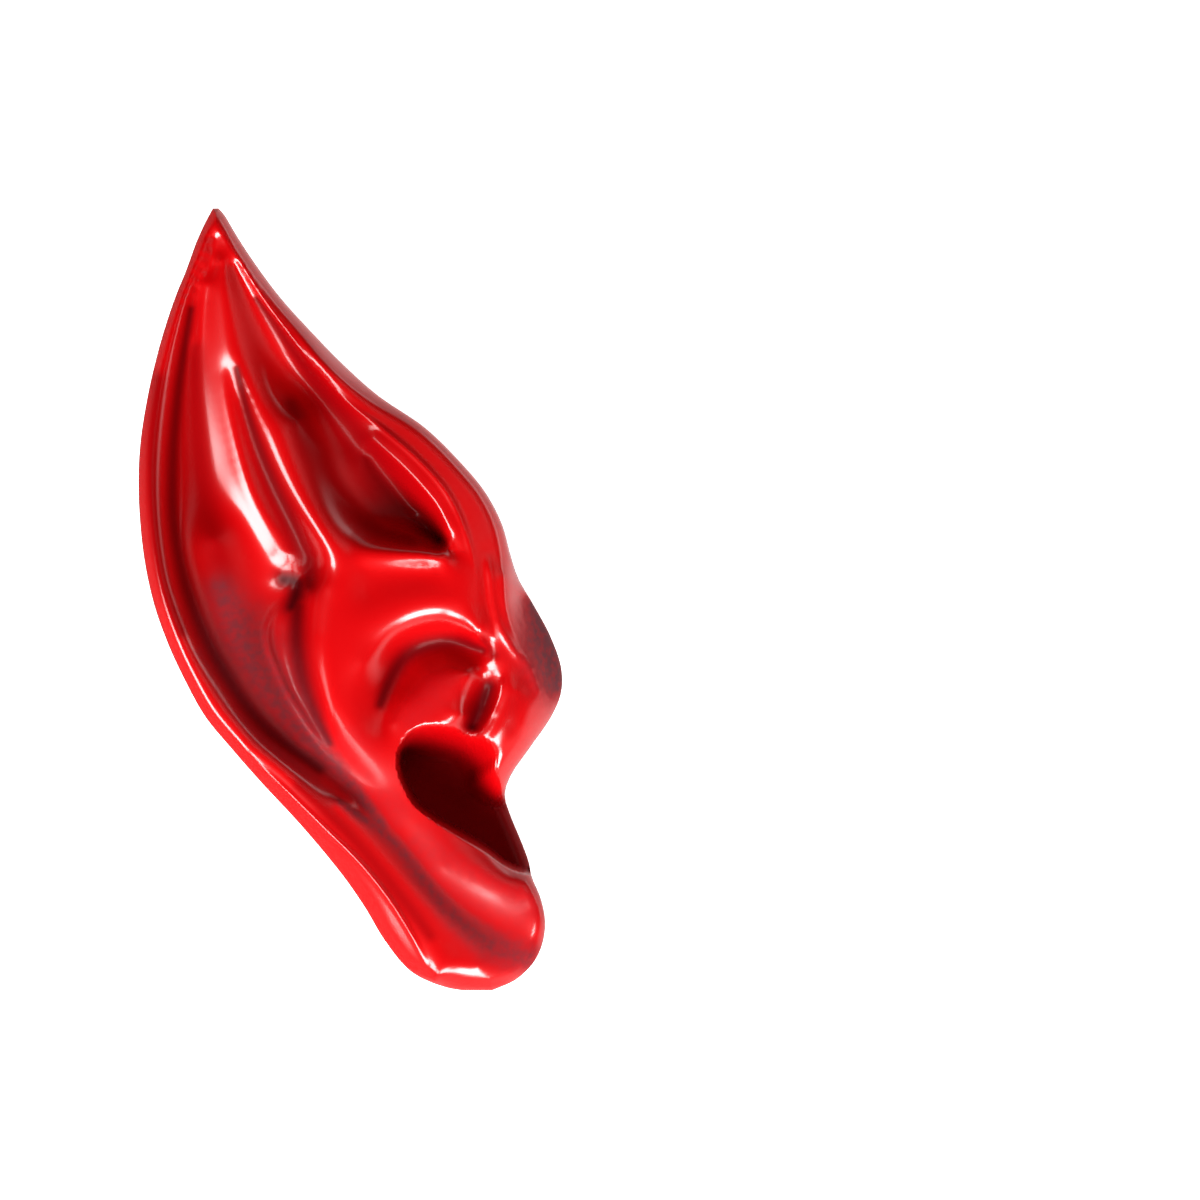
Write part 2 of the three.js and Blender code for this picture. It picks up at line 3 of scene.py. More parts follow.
import bpy
import numpy as np
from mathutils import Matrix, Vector


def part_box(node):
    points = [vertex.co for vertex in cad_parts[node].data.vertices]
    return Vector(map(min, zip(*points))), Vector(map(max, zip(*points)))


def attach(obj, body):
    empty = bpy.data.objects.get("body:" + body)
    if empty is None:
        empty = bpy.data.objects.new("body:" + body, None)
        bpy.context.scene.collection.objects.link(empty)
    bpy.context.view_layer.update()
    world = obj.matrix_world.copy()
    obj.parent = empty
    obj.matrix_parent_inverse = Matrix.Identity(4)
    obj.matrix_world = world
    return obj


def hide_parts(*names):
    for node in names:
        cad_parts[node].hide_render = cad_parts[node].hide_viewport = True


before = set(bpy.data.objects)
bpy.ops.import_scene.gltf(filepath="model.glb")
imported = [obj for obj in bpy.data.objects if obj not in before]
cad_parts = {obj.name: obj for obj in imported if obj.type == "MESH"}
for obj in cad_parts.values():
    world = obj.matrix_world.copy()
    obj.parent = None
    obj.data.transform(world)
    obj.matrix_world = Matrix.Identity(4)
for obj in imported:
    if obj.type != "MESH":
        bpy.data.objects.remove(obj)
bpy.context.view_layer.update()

# Ear shell.
# The real ear tip is one skin of natural rubber latex, poured into a mould of an ear, cured, trimmed round its open
# back and finished with a gloss coat. It has no seam, so the whole ear is one piece.
LOW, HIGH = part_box("ear_shell")
EAR_WIDTH = HIGH[0] - LOW[0]
EAR_LENGTH = HIGH[1] - LOW[1]
EAR_DEPTH = 0.022
WALL = 0.0015
# The face rolls over at its edge, and a narrow upright band leads to the rounded back.
EDGE_ROLL = 0.0022
EDGE_BAND = 0.0008
BACK_ROUND = 0.010
BACK_FULLNESS = 1.6
# The back of the tip rises off the table, and both ends of the hollow are filled with latex.
TIP_RISE = 0.012
TIP_RISE_FROM = 0.084
TIP_RISE_TO = 1.05 * EAR_LENGTH
TIP_FILL = 0.008
LOBE_FILL = 0.003
CAVUM_FLOOR = 0.005
OPENING_FROM = 0.0255
OPENING_LENGTH = 0.0575

# A station is (across from the rearmost point, along from the lobe, level), as shares of the ear's width, length and
# depth. Both edges run from the tip down to the lobe.
REAR_EDGE = [
    (0.173, 1, 0.755), (0.156, 0.983, 0.759), (0.135, 0.958, 0.773), (0.109, 0.919, 0.8),
    (0.083, 0.884, 0.818), (0.047, 0.822, 0.85), (0.019, 0.756, 0.882), (0.002, 0.692, 0.905),
    (0, 0.628, 0.923), (0.012, 0.556, 0.936), (0.036, 0.495, 0.941), (0.071, 0.442, 0.941),
    (0.109, 0.398, 0.932), (0.156, 0.352, 0.914), (0.218, 0.311, 0.886), (0.284, 0.27, 0.841),
    (0.389, 0.208, 0.764), (0.481, 0.147, 0.682), (0.533, 0.106, 0.636), (0.578, 0.065, 0.6),
    (0.642, 0.024, 0.564), (0.723, 0.004, 0.536), (0.763, 0, 0.527),
]
FACE_EDGE = [
    (0.187, 1, 0.755), (0.201, 0.991, 0.768), (0.232, 0.963, 0.791), (0.284, 0.921, 0.809),
    (0.339, 0.882, 0.827), (0.405, 0.843, 0.845), (0.479, 0.802, 0.868), (0.564, 0.761, 0.886),
    (0.675, 0.72, 0.9), (0.754, 0.679, 0.909), (0.818, 0.638, 0.909), (0.858, 0.597, 0.895),
    (0.879, 0.556, 0.855), (0.896, 0.528, 0.755), (0.931, 0.495, 0.618), (0.972, 0.454, 0.536),
    (0.998, 0.413, 0.5), (0.998, 0.382, 0.509), (0.976, 0.352, 0.564), (0.924, 0.311, 0.6),
    (0.877, 0.274, 0.555), (0.863, 0.249, 0.473), (0.872, 0.229, 0.418), (0.903, 0.188, 0.405),
    (0.919, 0.165, 0.445), (0.927, 0.147, 0.609), (0.948, 0.121, 0.632), (0.96, 0.091, 0.605),
    (0.955, 0.063, 0.555), (0.934, 0.037, 0.536), (0.891, 0.014, 0.527), (0.834, 0, 0.527),
]
# The cavum is the deep bowl over the ear canal: (across, along) on its rim, then (across, along) at its foot.
CAVUM = [
    (0.611, 0.308, 0.621, 0.302), (0.609, 0.288, 0.621, 0.284), (0.621, 0.265, 0.633, 0.265),
    (0.647, 0.239, 0.656, 0.243), (0.687, 0.221, 0.694, 0.226), (0.754, 0.198, 0.761, 0.205),
    (0.815, 0.178, 0.822, 0.184), (0.863, 0.159, 0.867, 0.166), (0.9, 0.15, 0.905, 0.157),
    (0.995, 0.147, 0.976, 0.157), (1.038, 0.203, 0.986, 0.196), (0.96, 0.254, 0.919, 0.224),
    (0.872, 0.262, 0.82, 0.234), (0.851, 0.285, 0.773, 0.254), (0.858, 0.308, 0.756, 0.277),
    (0.829, 0.325, 0.727, 0.29), (0.77, 0.338, 0.697, 0.295), (0.706, 0.344, 0.668, 0.298),
    (0.659, 0.34, 0.642, 0.301), (0.628, 0.327, 0.628, 0.303),
]
# The opening of the back: (share of its length from the lobe's end, across its rear side, across its face side).
OPENING = [
    (1, 0.34, 0.42), (0.97, 0.28, 0.5), (0.885, 0.225, 0.585), (0.76, 0.2, 0.66), (0.635, 0.205, 0.7),
    (0.51, 0.25, 0.75), (0.385, 0.3, 0.78), (0.26, 0.37, 0.765), (0.135, 0.455, 0.7),
    (0.04, 0.525, 0.64), (0, 0.56, 0.6),
]
# The crests, floors, walls and feet of the folds, as lines of stations. The skin of the face is bent through them.
FOLDS = {
    "rim crest": [
        (0.168, 0.978, 0.782), (0.154, 0.955, 0.8), (0.13, 0.922, 0.823), (0.097, 0.871, 0.855),
        (0.066, 0.813, 0.886), (0.045, 0.749, 0.923), (0.033, 0.685, 0.95), (0.036, 0.621, 0.973),
        (0.05, 0.558, 0.991), (0.069, 0.51, 1), (0.1, 0.462, 1), (0.142, 0.414, 0.986),
        (0.201, 0.367, 0.964), (0.27, 0.326, 0.936), (0.355, 0.288, 0.905), (0.438, 0.249, 0.873),
        (0.498, 0.214, 0.845), (0.559, 0.173, 0.805), (0.635, 0.121, 0.75), (0.723, 0.072, 0.695),
        (0.801, 0.033, 0.645),
    ],
    "tail ridge": [
        (0.251, 0.306, 0.932), (0.332, 0.266, 0.9), (0.427, 0.216, 0.859), (0.521, 0.165, 0.809),
        (0.616, 0.098, 0.741), (0.673, 0.045, 0.682), (0.697, 0.014, 0.632),
    ],
    "rim foot": [
        (0.164, 0.95, 0.773), (0.149, 0.922, 0.768), (0.126, 0.884, 0.773), (0.109, 0.832, 0.777),
        (0.097, 0.781, 0.782), (0.088, 0.73, 0.791), (0.081, 0.679, 0.805), (0.081, 0.628, 0.818),
        (0.09, 0.577, 0.832), (0.104, 0.532, 0.841), (0.128, 0.494, 0.841), (0.171, 0.439, 0.832),
        (0.223, 0.396, 0.818), (0.277, 0.353, 0.8), (0.341, 0.318, 0.782), (0.403, 0.29, 0.768),
        (0.474, 0.261, 0.764), (0.536, 0.238, 0.764),
    ],
    "tail groove": [
        (0.573, 0.221, 0.755), (0.618, 0.194, 0.723), (0.668, 0.16, 0.686), (0.718, 0.129, 0.655),
        (0.775, 0.101, 0.623), (0.832, 0.082, 0.595), (0.891, 0.07, 0.573), (0.938, 0.064, 0.55),
    ],
    "scapha floor": [
        (0.175, 0.577, 0.795), (0.204, 0.513, 0.782), (0.237, 0.455, 0.768), (0.28, 0.404, 0.755),
        (0.332, 0.357, 0.745), (0.393, 0.318, 0.75),
    ],
    "crus foot": [
        (0.159, 0.903, 0.786), (0.164, 0.845, 0.786), (0.173, 0.794, 0.786), (0.185, 0.756, 0.789),
        (0.211, 0.692, 0.791), (0.242, 0.628, 0.789), (0.27, 0.59, 0.777), (0.301, 0.556, 0.75),
        (0.332, 0.529, 0.709),
    ],
    "crus rear crest": [
        (0.201, 0.792, 0.823), (0.213, 0.756, 0.825), (0.242, 0.692, 0.832), (0.282, 0.628, 0.839),
        (0.322, 0.59, 0.827), (0.355, 0.56, 0.791),
    ],
    "crus valley": [
        (0.216, 0.792, 0.836), (0.23, 0.756, 0.823), (0.258, 0.692, 0.82), (0.303, 0.628, 0.825),
        (0.341, 0.59, 0.814), (0.377, 0.556, 0.773), (0.389, 0.532, 0.727),
    ],
    "crus face crest": [
        (0.194, 0.932, 0.818), (0.209, 0.894, 0.845), (0.227, 0.826, 0.864), (0.265, 0.756, 0.886),
        (0.31, 0.692, 0.909), (0.377, 0.624, 0.941), (0.422, 0.583, 0.964), (0.46, 0.549, 0.977),
    ],
    "crus valley face": [
        (0.239, 0.756, 0.827), (0.275, 0.692, 0.827), (0.329, 0.628, 0.834), (0.37, 0.59, 0.827),
        (0.403, 0.556, 0.8),
    ],
    "crus edge": [
        (0.536, 0.542, 0.973), (0.616, 0.543, 0.973), (0.701, 0.543, 0.973),
    ],
    "root foot": [
        (0.829, 0.439, 0.832), (0.839, 0.423, 0.832), (0.863, 0.413, 0.827),
    ],
    "bump edge": [
        (0.604, 0.344, 0.868), (0.621, 0.37, 0.855), (0.647, 0.393, 0.827), (0.685, 0.412, 0.818),
        (0.73, 0.422, 0.809),
    ],
    "dimple outer": [
        (0.893, 0.385, 0.823), (0.884, 0.357, 0.795), (0.86, 0.329, 0.759),
    ],
    "tail shoulder": [
        (0.476, 0.242, 0.855), (0.533, 0.206, 0.823), (0.595, 0.166, 0.782), (0.659, 0.127, 0.736),
        (0.725, 0.091, 0.691), (0.791, 0.061, 0.65),
    ],
    "pit": [
        (0.37, 0.513, 0.677), (0.355, 0.492, 0.682),
    ],
    "stem foot": [
        (0.346, 0.472, 0.7), (0.348, 0.436, 0.718), (0.365, 0.398, 0.732), (0.391, 0.359, 0.745),
        (0.431, 0.324, 0.759),
    ],
    "stem shoulder": [
        (0.441, 0.519, 0.95), (0.431, 0.481, 0.95), (0.424, 0.436, 0.95), (0.429, 0.398, 0.936),
        (0.445, 0.359, 0.905), (0.474, 0.326, 0.859),
    ],
    "stem slope": [
        (0.4, 0.515, 0.832), (0.389, 0.477, 0.836), (0.386, 0.436, 0.841), (0.398, 0.398, 0.836),
        (0.422, 0.359, 0.818),
    ],
    "stem top": [
        (0.498, 0.519, 0.982), (0.474, 0.462, 0.986), (0.474, 0.404, 0.973), (0.493, 0.357, 0.927),
        (0.517, 0.321, 0.877), (0.55, 0.288, 0.823), (0.588, 0.257, 0.782), (0.626, 0.229, 0.755),
        (0.673, 0.207, 0.732), (0.739, 0.185, 0.709), (0.801, 0.165, 0.684), (0.853, 0.146, 0.664),
        (0.9, 0.134, 0.645),
    ],
    "lower crus": [
        (0.502, 0.561, 0.986), (0.581, 0.563, 0.986), (0.664, 0.563, 0.986), (0.72, 0.56, 0.977),
    ],
    "plateau": [
        (0.54, 0.51, 0.97), (0.616, 0.513, 0.97), (0.687, 0.513, 0.97), (0.746, 0.513, 0.97),
    ],
    "fossa floor": [
        (0.227, 0.927, 0.795), (0.277, 0.884, 0.809), (0.36, 0.824, 0.823), (0.455, 0.76, 0.814),
        (0.507, 0.712, 0.786), (0.54, 0.666, 0.741), (0.59, 0.628, 0.691), (0.633, 0.605, 0.673),
        (0.675, 0.588, 0.677),
    ],
    "fossa slope": [
        (0.379, 0.73, 0.859), (0.431, 0.679, 0.841), (0.488, 0.628, 0.818), (0.545, 0.595, 0.805),
        (0.611, 0.581, 0.818), (0.682, 0.575, 0.809),
    ],
    "fossa face foot": [
        (0.55, 0.687, 0.755), (0.6, 0.655, 0.714), (0.637, 0.628, 0.686), (0.668, 0.605, 0.677),
        (0.69, 0.588, 0.691), (0.706, 0.575, 0.745),
    ],
    "helix crest": [
        (0.182, 0.978, 0.786), (0.204, 0.96, 0.805), (0.239, 0.932, 0.823), (0.294, 0.884, 0.845),
        (0.358, 0.835, 0.868), (0.412, 0.795, 0.886), (0.488, 0.752, 0.909), (0.583, 0.714, 0.927),
        (0.664, 0.676, 0.936), (0.725, 0.638, 0.945), (0.761, 0.6, 0.95), (0.782, 0.566, 0.955),
        (0.799, 0.532, 0.955), (0.808, 0.505, 0.945),
    ],
    "helix inner": [
        (0.55, 0.703, 0.895), (0.621, 0.671, 0.905), (0.668, 0.643, 0.909), (0.704, 0.618, 0.909),
        (0.727, 0.59, 0.914), (0.744, 0.561, 0.936),
    ],
    "root ridge": [
        (0.82, 0.561, 0.932), (0.827, 0.532, 0.927), (0.839, 0.494, 0.905), (0.853, 0.464, 0.873),
        (0.879, 0.441, 0.832), (0.912, 0.413, 0.786), (0.931, 0.385, 0.75),
    ],
    "root outer": [
        (0.867, 0.532, 0.909), (0.872, 0.497, 0.882), (0.882, 0.465, 0.845), (0.903, 0.439, 0.805),
        (0.931, 0.413, 0.768), (0.95, 0.385, 0.727),
    ],
    "tip valley": [
        (0.175, 0.963, 0.768), (0.18, 0.945, 0.773), (0.18, 0.925, 0.786),
    ],
    "bulge": [
        (0.905, 0.503, 0.664), (0.934, 0.462, 0.618), (0.962, 0.421, 0.586), (0.976, 0.39, 0.573),
    ],
    "face strip": [
        (0.934, 0.368, 0.736), (0.915, 0.34, 0.718), (0.872, 0.311, 0.691), (0.848, 0.283, 0.632),
    ],
    "arch": [
        (0.531, 0.421, 0.955), (0.55, 0.446, 0.959), (0.581, 0.464, 0.964), (0.621, 0.478, 0.964),
        (0.668, 0.488, 0.964), (0.711, 0.492, 0.964), (0.754, 0.488, 0.959), (0.777, 0.474, 0.95),
        (0.801, 0.457, 0.927),
    ],
    "cymba floor": [
        (0.571, 0.37, 0.832), (0.597, 0.4, 0.782), (0.628, 0.427, 0.755), (0.682, 0.442, 0.741),
        (0.746, 0.446, 0.745), (0.815, 0.436, 0.773),
    ],
    "bump foot": [
        (0.583, 0.336, 0.85), (0.595, 0.362, 0.823), (0.621, 0.393, 0.777), (0.661, 0.417, 0.764),
        (0.713, 0.43, 0.759),
    ],
    "bump crest": [
        (0.635, 0.335, 0.882), (0.661, 0.357, 0.891), (0.697, 0.382, 0.886), (0.739, 0.398, 0.873),
        (0.777, 0.405, 0.855),
    ],
    "bump top": [
        (0.711, 0.357, 0.873), (0.751, 0.379, 0.859), (0.768, 0.352, 0.818),
    ],
    "dimple": [
        (0.827, 0.39, 0.727), (0.81, 0.364, 0.691), (0.789, 0.341, 0.668),
    ],
    "dimple wall": [
        (0.858, 0.393, 0.814), (0.853, 0.372, 0.795), (0.832, 0.344, 0.764), (0.81, 0.325, 0.736),
    ],
    "lobe middle": [
        (0.72, 0.16, 0.689), (0.806, 0.128, 0.65), (0.877, 0.11, 0.627), (0.931, 0.106, 0.614),
    ],
}
# Fine rolls on the folds: height and half width in metres, then (across, along) stations.
CREASES = {
    "stem line": (0.00035, 0.00055, [
        (0.344, 0.503), (0.32, 0.485), (0.303, 0.462), (0.306, 0.439), (0.325, 0.413), (0.348, 0.385),
        (0.374, 0.362), (0.408, 0.334), (0.455, 0.303),
    ]),
    "scapha line": (0.0004, 0.0008, [
        (0.171, 0.963), (0.154, 0.925), (0.142, 0.886), (0.133, 0.852), (0.123, 0.807),
    ]),
    "helix line": (0.0003, 0.0005, [
        (0.185, 0.978), (0.239, 0.932), (0.294, 0.884), (0.358, 0.836), (0.412, 0.795), (0.491, 0.752),
        (0.585, 0.714), (0.666, 0.676), (0.727, 0.638), (0.763, 0.6), (0.784, 0.566), (0.799, 0.532),
        (0.806, 0.505),
    ]),
    "helix inner line": (0.00035, 0.0006, [
        (0.526, 0.715), (0.583, 0.689), (0.63, 0.666), (0.673, 0.642), (0.706, 0.619), (0.725, 0.597),
        (0.744, 0.57),
    ]),
    "root line": (0.00045, 0.0007, [
        (0.825, 0.564), (0.832, 0.526), (0.839, 0.494), (0.853, 0.467), (0.879, 0.442), (0.915, 0.412),
    ]),
    "tail line": (0.00035, 0.0005, [
        (0.251, 0.306), (0.332, 0.266), (0.427, 0.216), (0.521, 0.166), (0.583, 0.125), (0.63, 0.086),
        (0.664, 0.052), (0.692, 0.017),
    ]),
    "fossa line": (0.00025, 0.0005, [
        (0.611, 0.616), (0.649, 0.609), (0.697, 0.596), (0.73, 0.577), (0.749, 0.555),
    ]),
    "dimple line": (0.0004, 0.0005, [
        (0.86, 0.408), (0.853, 0.382), (0.839, 0.362), (0.82, 0.344), (0.801, 0.326),
    ]),
    "arch line": (0.00025, 0.0014, [
        (0.54, 0.408), (0.569, 0.441), (0.611, 0.463), (0.668, 0.474), (0.725, 0.477), (0.763, 0.468),
        (0.791, 0.446),
    ]),
}

EDGE_STEP = 0.0005
CREASE_STEP = 0.0006
CREASE_FADES = 5
CAVUM_POINTS = 8
OPENING_POINTS = 10
LEAST_SQUARE = 1e-20


def curve_through(rows, closed=False, step=None, each=None):
    """A smooth curve through table rows, in metres: points about a step apart, or each row's own number."""
    rows = np.array(rows, float)
    rows[:, 0] *= EAR_WIDTH
    rows[:, 1] *= EAR_LENGTH
    if closed:
        padded = np.vstack([rows[-1], rows, rows[0], rows[1]])
    else:
        padded = np.vstack([2 * rows[0] - rows[1], rows, 2 * rows[-1] - rows[-2]])
    points = []
    for before, start, end, after in zip(padded, padded[1:], padded[2:], padded[3:]):
        pairs = ((before, start), (start, end), (end, after))
        lead, span, tail = (np.linalg.norm((b - a)[:2]) ** 0.5 for a, b in pairs)
        leave = ((start - before) / lead - (end - before) / (lead + span) + (end - start) / span) * span
        arrive = ((end - start) / span - (after - start) / (span + tail) + (after - end) / tail) * span
        count = each or max(1, round(np.linalg.norm((end - start)[:2]) / step))
        t = (np.arange(count) / count)[:, None]
        points.append(
            (2 * t**3 - 3 * t**2 + 1) * start
            + (t**3 - 2 * t**2 + t) * leave
            + (3 * t**2 - 2 * t**3) * end
            + (t**3 - t**2) * arrive
        )
    if not closed:
        points.append(rows[-1:])
    return np.vstack(points)


def is_inside(loop, x, y):
    """True where a place lies in a closed loop of points."""
    inside = np.zeros(len(x), bool)
    for (ax, ay), (bx, by) in zip(loop[:, :2], np.roll(loop[:, :2], -1, axis=0)):
        if ay != by:
            inside ^= ((ay > y) != (by > y)) & (x < ax + (bx - ax) * (y - ay) / (by - ay))
    return inside


def from_rule(x, y, start, end):
    """Distance of a place from a straight rule, and how far along the rule it lies, 0 to 1."""
    (ax, ay), (bx, by) = start[:2], end[:2]
    dx, dy = bx - ax, by - ay
    t = np.clip(((x - ax) * dx + (y - ay) * dy) / max(dx * dx + dy * dy, LEAST_SQUARE), 0, 1)
    return np.hypot(x - ax - t * dx, y - ay - t * dy), t


def nearest_rule(x, y, starts, ends):
    """Distance to the nearest of some straight rules, and how far along that rule the place lies."""
    nearest = np.full(len(x), np.inf)
    share = np.zeros(len(x))
    for start, end in zip(starts, ends):
        distance, t = from_rule(x, y, start, end)
        share = np.where(distance < nearest, t, share)
        nearest = np.minimum(nearest, distance)
    return nearest, share


rear_edge = curve_through(REAR_EDGE, step=EDGE_STEP)
face_edge = curve_through(FACE_EDGE, step=EDGE_STEP)
outline = np.vstack([rear_edge, face_edge[::-1]])
cavum_rim = curve_through([row[:2] for row in CAVUM], closed=True, each=CAVUM_POINTS)
cavum_foot = curve_through([row[2:] for row in CAVUM], closed=True, each=CAVUM_POINTS)


def plate_kernel(squares):
    """How a thin plate bends at a place, from the square of its distance to a knot."""
    return squares * np.log(np.maximum(squares, LEAST_SQUARE))


# A thin plate bent through every edge and fold gives the face its height. The ease lets it pass a little off a knot.
KNOT_STEP = 0.0016
PLATE_EASE = 4e-7
PLACES_AT_ONCE = 8000
knots = np.vstack([curve_through(rows, step=KNOT_STEP) for rows in (REAR_EDGE, FACE_EDGE, *FOLDS.values())])
affine = np.column_stack([np.ones(len(knots)), knots[:, :2]])
knot_squares = ((knots[:, None, :2] - knots[None, :, :2]) ** 2).sum(axis=2)
system = np.block([
    [plate_kernel(knot_squares) + PLATE_EASE * np.eye(len(knots)), affine],
    [affine.T, np.zeros((3, 3))],
])
weights = np.linalg.solve(system, np.concatenate([knots[:, 2], np.zeros(3)]))


def plate_height(x, y):
    """Height of the bent plate, worked out some thousand places at a time to spare memory."""
    heights = np.empty(len(x))
    for start in range(0, len(x), PLACES_AT_ONCE):
        part = slice(start, start + PLACES_AT_ONCE)
        squares = (x[part, None] - knots[:, 0]) ** 2 + (y[part, None] - knots[:, 1]) ** 2
        bent = plate_kernel(squares) @ weights[:-3]
        heights[part] = bent + weights[-3] + weights[-2] * x[part] + weights[-1] * y[part]
    return EAR_DEPTH * heights


def smooth(share):
    """Eases a share in at 0 and out at 1."""
    share = np.clip(share, 0, 1)
    return share * share * (3 - 2 * share)


def cavum_share(x, y):
    """Grows from 0 at the cavum's rim to 1 on its floor."""
    share = np.zeros(len(x))
    inside = np.flatnonzero(is_inside(cavum_rim, x, y))
    share[inside] = nearest_rule(x[inside], y[inside], cavum_rim, cavum_foot)[1]
    share[is_inside(cavum_foot, x, y)] = 1
    return share


def depth_inside(x, y):
    """How far a place lies inside the outline, 0 outside it."""
    distance, _ = nearest_rule(x, y, outline, np.roll(outline, -1, axis=0))
    return np.where(is_inside(outline, x, y), distance, 0)


def round_drop(distance, radius, fullness):
    """Share of a rounded edge's drop, 1 at the edge and 0 a radius inside it."""
    rest = np.clip(1 - distance / radius, 0, 1)
    return 1 - (1 - rest**fullness) ** (1 / fullness)


def crease_height(x, y):
    """Fine rolls along the folds: each rises to its height on its line and dies away on both sides and at its ends."""
    height = np.zeros(len(x))
    for tall, half_width, stations in CREASES.values():
        line = curve_through(stations, step=CREASE_STEP)
        length = np.linspace(0, 1, len(line))
        nearest = np.full(len(x), np.inf)
        along = np.zeros(len(x))
        for start, end, passed, reached in zip(line, line[1:], length, length[1:]):
            distance, t = from_rule(x, y, start, end)
            along = np.where(distance < nearest, passed + (reached - passed) * t, along)
            nearest = np.minimum(nearest, distance)
        ends = smooth(CREASE_FADES * along) * smooth(CREASE_FADES * (1 - along))
        height += tall * ends * np.exp(-((nearest / half_width) ** 2))
    return height


def face_height(x, y):
    """Height of the face: the plate and its fine rolls, sunk at the cavum and rolled over at the edge."""
    sunk = smooth(cavum_share(x, y))
    height = (plate_height(x, y) + crease_height(x, y)) * (1 - sunk) + CAVUM_FLOOR * sunk
    return height - EDGE_ROLL * round_drop(depth_inside(x, y), EDGE_ROLL, 2)


outline_height = face_height(outline[:, 0], outline[:, 1])
rear_height = outline_height[:len(rear_edge)]
face_edge_height = outline_height[len(rear_edge):][::-1]


def edge_at(edge, values, y):
    """A value along an edge, at places along the ear. The edges run down from the tip."""
    return np.interp(y, edge[::-1, 1], values[::-1])


def back_height(x, y):
    """Height of the back: flat on the table in its middle, and rounded up to the band under the face's edge."""
    rear, front = edge_at(rear_edge, rear_edge[:, 0], y), edge_at(face_edge, face_edge[:, 0], y)
    share = np.clip((x - rear) / (front - rear), 0, 1)
    edge = (1 - share) * edge_at(rear_edge, rear_height, y) + share * edge_at(face_edge, face_edge_height, y)
    rise = TIP_RISE * smooth((y - TIP_RISE_FROM) / (TIP_RISE_TO - TIP_RISE_FROM))
    return rise + (edge - EDGE_BAND - rise) * round_drop(depth_inside(x, y), BACK_ROUND, BACK_FULLNESS)


# The hollow keeps a ball of the wall's radius away from the skin, tried in these directions.
BALL = [(0, 0, 1)] + [
    (share * math.cos(math.tau * step / 8), share * math.sin(math.tau * step / 8), math.sqrt(1 - share * share))
    for share in (0.55, 0.95)
    for step in range(8)
]


def inside_face(x, y):
    """Height of the hollow under the face."""
    return np.min([face_height(x + WALL * dx, y + WALL * dy) - WALL * dz for dx, dy, dz in BALL], axis=0)


def inside_back(x, y):
    """Height of the hollow over the back."""
    return np.max([back_height(x + WALL * dx, y + WALL * dy) + WALL * dz for dx, dy, dz in BALL], axis=0)


def gather(count):
    """Shares from 0 to 1, closer together at both ends."""
    even = np.linspace(0, 1, count + 1)
    return (even + (1 - np.cos(math.pi * even)) / 2) / 2


EDGE_REACH = 0.0002


def plan_grid(low, high, inset, sections, columns):
    """Places on straight sections across the ear's plan, as rows from the lobe to the tip."""
    ys = low + (high - low) * gather(sections)
    reach = max(inset, EDGE_REACH)
    ends = []
    for edge, way in ((rear_edge, 1), (face_edge, -1)):
        slope = (edge_at(edge, edge[:, 0], ys + reach) - edge_at(edge, edge[:, 0], ys - reach)) / (2 * reach)
        ends.append(edge_at(edge, edge[:, 0], ys) + way * inset * np.hypot(1, slope))
    x = ends[0][:, None] + (ends[1] - ends[0])[:, None] * gather(columns)
    return x, np.repeat(ys[:, None], columns + 1, axis=1)


def border_of(index):
    """The places round a grid's border, once each."""
    return np.concatenate([index[0, :-1], index[:-1, -1], index[-1, :0:-1], index[:0:-1, 0]])


def mesh_object(name, corners, faces):
    """An object of its own mesh, from its corners and its faces."""
    mesh = bpy.data.meshes.new(name)
    mesh.from_pydata(corners.tolist(), [], faces)
    mesh.update()
    made = bpy.data.objects.new(name, mesh)
    bpy.context.collection.objects.link(made)
    return made


LEAST_GAP = 0.0004


def pillow(name, low, high, inset, sections, columns, coarser, top, bottom):
    """A closed body between a top and a bottom height, whose bottom has fewer places each way."""
    x, y = plan_grid(low, high, inset, sections, columns)
    upper, lower = (height(x.ravel(), y.ravel()).reshape(x.shape) for height in (top, bottom))
    middle, half = (upper + lower) / 2, np.maximum(upper - lower, LEAST_GAP) / 2
    over = np.stack([x, y, middle + half], axis=-1)
    under = np.stack([x, y, middle - half], axis=-1)[::coarser, ::coarser]
    over_index = np.arange(x.size).reshape(x.shape)
    under_index = x.size + np.arange(under[..., 0].size).reshape(under.shape[:2])
    # Each square of the top is split along its flatter diagonal.
    quads = np.stack([over_index[:-1, :-1], over_index[:-1, 1:], over_index[1:, 1:], over_index[1:, :-1]], axis=-1)
    quads = quads.reshape(-1, 4)
    heights = over[..., 2].ravel()[quads]
    steep = np.abs(heights[:, 0] - heights[:, 2]) > np.abs(heights[:, 1] - heights[:, 3])
    quads = np.where(steep[:, None], np.roll(quads, -1, axis=1), quads)
    faces = np.concatenate([quads[:, [0, 1, 2]], quads[:, [0, 2, 3]]]).tolist()
    squares = (under_index[1:, :-1], under_index[1:, 1:], under_index[:-1, 1:], under_index[:-1, :-1])
    faces += np.stack(squares, axis=-1).reshape(-1, 4).tolist()
    # A strip of faces joins several places on the top's border to each step of the bottom's.
    fine, coarse = border_of(over_index), border_of(under_index)
    fine_ring, coarse_ring = np.append(fine, fine[0]), np.append(coarse, coarse[0])
    for i in range(len(coarse)):
        strip = fine_ring[i * coarser:(i + 1) * coarser + 1]
        faces.append([*strip[::-1].tolist(), int(coarse_ring[i]), int(coarse_ring[i + 1])])
    corners = np.concatenate([over.reshape(-1, 3), under.reshape(-1, 3)]) - (EAR_WIDTH / 2, EAR_LENGTH / 2, 0)
    return mesh_object(name, corners, faces)


